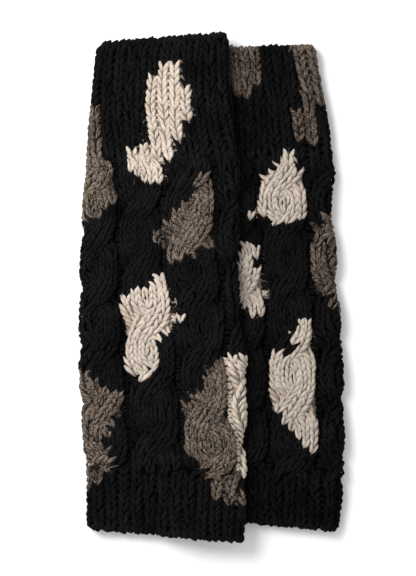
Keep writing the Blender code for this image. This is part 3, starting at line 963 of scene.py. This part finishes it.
def plus(tree, a, b):
    return maths(tree, "ADD", a, b)


def spread_by(tree, factor, amount):
    """A noise that varies round 0 by the amount."""
    return times(tree, maths(tree, "SUBTRACT", factor, 0.5), amount)


def noise(tree, vector, scale, detail=2.0, roughness=0.5):
    made = node(tree, "ShaderNodeTexNoise")
    fill(made, Scale=scale, Detail=detail, Roughness=roughness)
    link(tree, vector, made.inputs["Vector"])
    return made.outputs["Fac"]


def ramp(tree, factor, stops):
    made = node(tree, "ShaderNodeValToRGB")
    elements = made.color_ramp.elements
    while len(elements) < len(stops):
        elements.new(0.5)
    for element, (position, colour) in zip(elements, stops):
        element.position = position
        element.color = (*colour, 1.0)
    link(tree, factor, made.inputs["Fac"])
    return made.outputs["Color"]


# How each yarn varies, with dark and light as shares of its own colour: charcoal hardly, cream
# softly, taupe in a strong marl. Painted shade multiplies it towards its shade colour, by its depth.
Wool = namedtuple("Wool", "dark light contrast streak specular sheen depth pit")
WOOLS = {
    "charcoal": Wool(0.45, 2.0, 0.7, 1.4, 0.0, 0.010, 0.9, (0.32, 0.32, 0.33)),
    "cream": Wool(0.76, 1.13, 0.9, 1.4, 0.1, 0.04, 0.8, (0.80, 0.72, 0.64)),
    "taupe": Wool(0.10, 2.8, 1.7, 4.4, 0.05, 0.025, 0.95, (0.28, 0.25, 0.23)),
}
DARK_AT, LIGHT_AT = 0.2, 0.8


def scaled(colour, factor):
    return tuple(channel * factor for channel in colour)


def wool_material(warmer, yarn, colours, on_yarn):
    """Plied wool: fibres that twist round the yarn, tone that drifts, a soft nap, and painted shade in its
    hollows and ply grooves.
    """
    name = f"{warmer.name}_{yarn}_{'yarn' if on_yarn else 'cloth'}"
    found = bpy.data.materials.get(name)
    if found:
        return found
    wool = WOOLS[yarn]
    # painted shade: a warmer's yarn colours are darkened as a whole by its factor
    colour_of_it = scaled(getattr(colours, yarn), warmer.tone)
    material, shader = new_material(name)
    tree = material.node_tree
    place_at = node(tree, "ShaderNodeTexCoord").outputs["Object"]
    drift = noise(tree, place_at, DRIFT_SCALE, 3.0)
    fleck = noise(tree, place_at, FLECK_SCALE, 2.0, 0.6)
    if on_yarn:
        spread = node(tree, "ShaderNodeUVMap", uv_map="yarn").outputs["UV"]
        split = node(tree, "ShaderNodeSeparateXYZ")
        link(tree, spread, split.inputs[0])
        round_it, along = split.outputs["X"], split.outputs["Y"]
        turned = plus(tree, times(tree, round_it, PLIES), times(tree, along, PLY_TWIST))
        grooves = maths(tree, "ABSOLUTE", maths(tree, "SINE", times(tree, turned, math.pi)))
        fibre_place = node(tree, "ShaderNodeCombineXYZ")
        link(tree, times(tree, turned, FIBRES_ACROSS), fibre_place.inputs["X"])
        link(tree, times(tree, along, FIBRES_ALONG), fibre_place.inputs["Y"])
        link(tree, times(tree, drift, FIBRES_UNLIKE), fibre_place.inputs["Z"])
        fibres = noise(tree, fibre_place.outputs[0], 1.0, 2.0, 0.6)
        shade, hollow = (node(tree, "ShaderNodeAttribute", attribute_name=each).outputs["Fac"]
                         for each in ("shade", "hollow"))
        # random tone, and painted shade in the grooves between plies
        tone = plus(tree, times(tree, shade, SHADE_TONE), times(tree, grooves, GROOVE_SHADE))
        height = plus(tree, times(tree, grooves, GROOVE_HEIGHT), times(tree, fibres, FIBRE_HEIGHT))
        streaks = spread_by(tree, fibres, wool.streak)
        pit = wool.pit
    else:
        # the cloth takes full painted shade everywhere, as it lies behind the stitches
        tone, height, hollow = 0.0, fleck, 1.0
        streaks = spread_by(tree, fleck, wool.streak)
        pit = scaled(wool.pit, CLOTH_SHADE)
    marl = spread_by(tree, fleck, wool.contrast)
    total = plus(tree, plus(tree, drift, tone), plus(tree, marl, streaks))
    shaded = node(tree, "ShaderNodeMix", data_type="RGBA", blend_type="MULTIPLY")
    # painted shade: the darkening grows with the painted shade attribute and the yarn's depth
    painted_shade_weight = times(tree, maths(tree, "POWER", hollow, PAINTED_SHADE_POWER), wool.depth)
    link(tree, painted_shade_weight, shaded.inputs["Factor"])
    stops = (DARK_AT, scaled(colour_of_it, wool.dark)), (LIGHT_AT, scaled(colour_of_it, wool.light))
    link(tree, ramp(tree, total, stops), shaded.inputs["A"])
    fill(shaded, B=(*pit, 1.0))
    link(tree, shaded.outputs["Result"], shader.inputs["Base Color"])
    bump = node(tree, "ShaderNodeBump")
    fill(bump, Strength=0.6, Distance=0.0006)
    link(tree, height, bump.inputs["Height"])
    link(tree, bump.outputs["Normal"], shader.inputs["Normal"])
    fill(shader, Roughness=0.95, Specular_IOR_Level=wool.specular, Sheen_Weight=wool.sheen,
         Sheen_Roughness=0.6)
    return material


# Add-on ----------------------------------------------------------------------------------------

def colour_setting(name, description, default):
    return FloatVectorProperty(name=name, description=description, subtype="COLOR", size=3, min=0,
                               max=1, default=default)


def length_setting(name, description, default, low, high=10.0):
    return FloatProperty(name=name, description=description, unit="LENGTH", min=low, max=high,
                         default=default)


class YarnColours(bpy.types.PropertyGroup):
    charcoal: colour_setting("Charcoal", "Main yarn, nearly black", (0.0042, 0.0041, 0.0044))
    cream: colour_setting("Cream", "Undyed yarn of the light patches", (0.495, 0.427, 0.364))
    taupe: colour_setting("Taupe", "Marled yarn of the grey-brown patches", (0.064, 0.0495, 0.039))


class KnitSizes(bpy.types.PropertyGroup):
    row_height: length_setting("Row height", "From one row of stitches to the next", 0.005, 0.003, 0.01)
    unevenness: FloatProperty(
        name="Unevenness", description="How much hand-knitted stitches differ from each other",
        min=0.0, max=0.3, default=0.12)
    cloth_depth: length_setting(
        "Cloth depth", "How far the cloth behind the stitches lies under their tops", 0.0018, 0.0, 0.003)
    fibres: IntProperty(
        name="Loose fibres", description="Fibres that stand out of each warmer", min=0, max=12000,
        default=8000)
    fibre_width: length_setting("Fibre width", "Thickness of a loose fibre", 0.00004, 0.00002, 0.0005)


class StudioSettings(bpy.types.PropertyGroup):
    floor: colour_setting("Floor", "Colour of the floor", (0.95, 0.95, 0.95))
    key_power: FloatProperty(
        name="Key light", description="Power of the large soft light", subtype="POWER", min=0,
        default=17.0)
    fill: FloatProperty(
        name="Fill", description="Strength of the light from all round", min=0, default=0.72)
    camera_height: length_setting("Camera height", "Camera's height over the warmers", 2.0, 0.5)
    view_height: length_setting("View height", "Length of floor that the picture covers", 0.435, 0.1)


def warmer_choice():
    return EnumProperty(
        name="Warmer", description="Which warmer of the pair",
        items=[(name, name.replace("_", " ").capitalize(), "") for name in WARMERS])


SETTINGS = {"warmer_yarns": YarnColours, "warmer_knit": KnitSizes, "warmer_studio": StudioSettings}


def settings():
    return tuple(getattr(bpy.context.scene, name) for name in SETTINGS)


def seeded(warmer, task):
    return np.random.default_rng([SEED, list(WARMERS).index(warmer.name), task])


class WARMERS_OT_cloth(bpy.types.Operator):
    """Lay one warmer's cloth, the wall behind its stitches"""
    bl_idname = "warmers.cloth"
    bl_label = "Lay Cloth"
    warmer: warmer_choice()

    columns_per_stitch = 3
    end_inset = 2.4

    def execute(self, context):
        warmer = WARMERS[self.warmer]
        colours, sizes, _ = settings()
        depth = sizes.cloth_depth / MM
        columns = STITCHES * self.columns_per_stitch
        rows = round((warmer.top.y - warmer.bottom.y) / (sizes.row_height / MM)) + 1
        heights = np.linspace(warmer.bottom.y + self.end_inset, warmer.top.y - self.end_inset, rows)
        stitch, y = np.meshgrid(np.arange(columns) / self.columns_per_stitch, heights)
        arc = arc_of(warmer, stitch, y)
        up, x = facing_up(warmer, arc, y)
        outer = stand_out(warmer, arc, y, relief(warmer, stitch, y, x) * up - depth)
        inner = stand_out(warmer, arc, y, -WALL + 0 * arc)
        points = np.concatenate([outer.reshape(-1, 3), inner.reshape(-1, 3)])

        j = np.arange(columns)
        here, turned = j, (j + 1) % columns
        low, high = np.arange(rows - 1)[:, None] * columns, np.arange(1, rows)[:, None] * columns
        wall = np.stack([low + here, low + turned, high + turned, high + here], axis=-1).reshape(-1, 4)
        far = rows * columns
        lining = wall[:, ::-1] + far
        last = (rows - 1) * columns
        bottom = np.stack([here, here + far, turned + far, turned], axis=-1)
        top = np.stack([here + last, turned + last, turned + last + far, here + last + far], axis=-1)
        faces = np.concatenate([wall, lining, bottom, top])
        # the cloth's materials are drawn in full painted shade
        materials = [wool_material(warmer, yarn, colours, False) for yarn in YARNS]
        piece = mesh_object(warmer, f"{warmer.name}_cloth", points, faces.tolist(), materials)

        middle = (y[:-1] + y[1:]) / 2
        numbers = yarn_where(warmer, stitch[:-1] + 0.5 / self.columns_per_stitch, middle).ravel()
        numbers = np.concatenate([numbers, numbers, np.zeros(len(bottom) + len(top), int)])
        piece.data.polygons.foreach_set("material_index", numbers.astype(np.int32))
        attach(piece, "root")
        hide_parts(*(f"{warmer.name}_{zone}" for zone in ZONES))
        return {"FINISHED"}


class WARMERS_OT_stitches(bpy.types.Operator):
    """Work one warmer's knit and purl stitches, a piece for each zone and yarn"""
    bl_idname = "warmers.stitches"
    bl_label = "Work Stitches"
    warmer: warmer_choice()

    def execute(self, context):
        warmer = WARMERS[self.warmer]
        colours, sizes, _ = settings()
        for number, zone in enumerate(ZONES):
            batches = zone_stitches(warmer, zone, sizes, seeded(warmer, number))
            add_yarn(warmer, f"{zone}_{{}}_stitches", batches, colours)
        return {"FINISHED"}


class WARMERS_OT_edges(bpy.types.Operator):
    """Bind off and cast on: the chains along one warmer's two free edges"""
    bl_idname = "warmers.edges"
    bl_label = "Chain Edges"
    warmer: warmer_choice()

    seed = 10
    depths = 0.6, 2.4

    def execute(self, context):
        warmer = WARMERS[self.warmer]
        colours, sizes, _ = settings()
        rng = seeded(warmer, self.seed)
        for edge in CHAIN_WIDTH:
            batches = {yarn: [] for yarn in YARNS}
            for depth in self.depths:
                lengths, yarn_number = rim_paths(warmer, edge, depth, sizes, rng)
                wind(batches, lengths, LEG_SIDES, rng.normal(size=len(yarn_number)), yarn_number)
            add_yarn(warmer, f"{edge}_{{}}", batches, colours)
        return {"FINISHED"}


class WARMERS_OT_fibres(bpy.types.Operator):
    """Let loose fibres and a short nap stand out of one warmer's yarn"""
    bl_idname = "warmers.fibres"
    bl_label = "Raise Fibres"
    warmer: warmer_choice()

    seed = 20

    def execute(self, context):
        warmer = WARMERS[self.warmer]
        colours, sizes, _ = settings()
        rng = seeded(warmer, self.seed)
        batches = {yarn: [] for yarn in YARNS}
        for hair in HAIRS:
            count = round(sizes.fibres * hair.share)
            lengths, yarn_number = fibre_paths(warmer, hair, count, sizes, rng)
            wind(batches, lengths, FIBRE_SIDES, rng.normal(size=len(yarn_number)), yarn_number)
        add_yarn(warmer, "{}_fibres", batches, colours)
        return {"FINISHED"}


class WARMERS_OT_cut(bpy.types.Operator):
    """Work out the mean length round one warmer's tube and what lies on its cloth, without stating either"""
    bl_idname = "warmers.cut"
    bl_label = "State Cut"
    warmer: warmer_choice()

    heights = 60

    def execute(self, context):
        warmer = WARMERS[self.warmer]
        cloth = bpy.data.objects[f"{warmer.name}_cloth"]
        y = np.linspace(warmer.bottom.y, warmer.top.y, self.heights)
        round_it = float(girth(warmer, y).mean()) * MM
        others = [piece for piece in collection(warmer.name).objects if piece is not cloth]
        return {"FINISHED"}


class WARMERS_OT_stage(bpy.types.Operator):
    """Set up the floor, the soft light and the camera that looks straight down"""
    bl_idname = "warmers.stage"
    bl_label = "Set Stage"

    # In metres
    floor_size = 6.0
    key_place, key_size = (-0.66, 0.54, 0.85), 0.8
    aim, warmers_top = (-0.00264, -0.00038), 0.010
    film_width, film_height = 26.0, 36.0    # millimetres

    def execute(self, context):
        _, _, studio = settings()
        scene = context.scene
        scene.view_settings.view_transform = "Standard"

        mesh = bpy.data.meshes.new("studio_floor")
        half = self.floor_size / 2
        mesh.from_pydata([(-half, -half, 0), (half, -half, 0), (half, half, 0), (-half, half, 0)], [],
                         [(0, 1, 2, 3)])
        paper, shader = new_material("pale_paper")
        fill(shader, Base_Color=(*studio.floor, 1.0), Roughness=0.9)
        mesh.materials.append(paper)
        floor = add_object("studio_floor", mesh, scene.collection)

        world = bpy.data.worlds.new("studio")
        world.use_nodes = True
        fill(world.node_tree.nodes["Background"], Color=(1, 1, 1, 1), Strength=studio.fill)
        scene.world = world
        self.key_light(scene, studio.key_power)
        self.camera(scene, studio)
        return {"FINISHED"}

    def key_light(self, scene, power):
        data = bpy.data.lights.new("key", "AREA")
        data.shape = "DISK"
        data.size = self.key_size
        data.energy = power
        lamp = add_object("key", data, scene.collection)
        lamp.location = self.key_place
        lamp.rotation_euler = (-Vector(self.key_place)).to_track_quat("-Z", "Y").to_euler()

    def camera(self, scene, studio):
        data = bpy.data.cameras.new("camera")
        data.sensor_fit = "VERTICAL"
        data.sensor_height = self.film_height
        data.sensor_width = self.film_width
        data.lens = data.sensor_height * studio.camera_height / studio.view_height
        camera = add_object("camera", data, scene.collection)
        camera.location = (*self.aim, studio.camera_height + self.warmers_top)
        scene.camera = camera


class WARMERS_PT_sidebar(bpy.types.Panel):
    """Sizes, yarns and steps of the pair"""
    bl_idname = "WARMERS_PT_sidebar"
    bl_label = "Arm Warmers"
    bl_space_type = "VIEW_3D"
    bl_region_type = "UI"
    bl_category = "Arm Warmers"

    def draw(self, context):
        for group in settings():
            box = self.layout.box()
            for name in group.__annotations__:
                box.prop(group, name)
        for step in STEPS:
            for name in WARMERS:
                self.layout.operator(step.bl_idname).warmer = name
        self.layout.operator(WARMERS_OT_stage.bl_idname)


STEPS = (WARMERS_OT_cloth, WARMERS_OT_stitches, WARMERS_OT_edges, WARMERS_OT_fibres, WARMERS_OT_cut)
CLASSES = (*SETTINGS.values(), *STEPS, WARMERS_OT_stage, WARMERS_PT_sidebar)


def register():
    for each in CLASSES:
        bpy.utils.register_class(each)
    for name, group in SETTINGS.items():
        setattr(bpy.types.Scene, name, PointerProperty(type=group))


def unregister():
    for name in SETTINGS:
        delattr(bpy.types.Scene, name)
    for each in reversed(CLASSES):
        bpy.utils.unregister_class(each)


def main():
    register()
    bpy.ops.warmers.stage()
    for name in WARMERS:
        bpy.ops.warmers.cloth(warmer=name)
        bpy.ops.warmers.stitches(warmer=name)
        bpy.ops.warmers.edges(warmer=name)
        bpy.ops.warmers.fibres(warmer=name)
    for name in WARMERS:
        bpy.ops.warmers.cut(warmer=name)


if __name__ == "__main__":
    main()
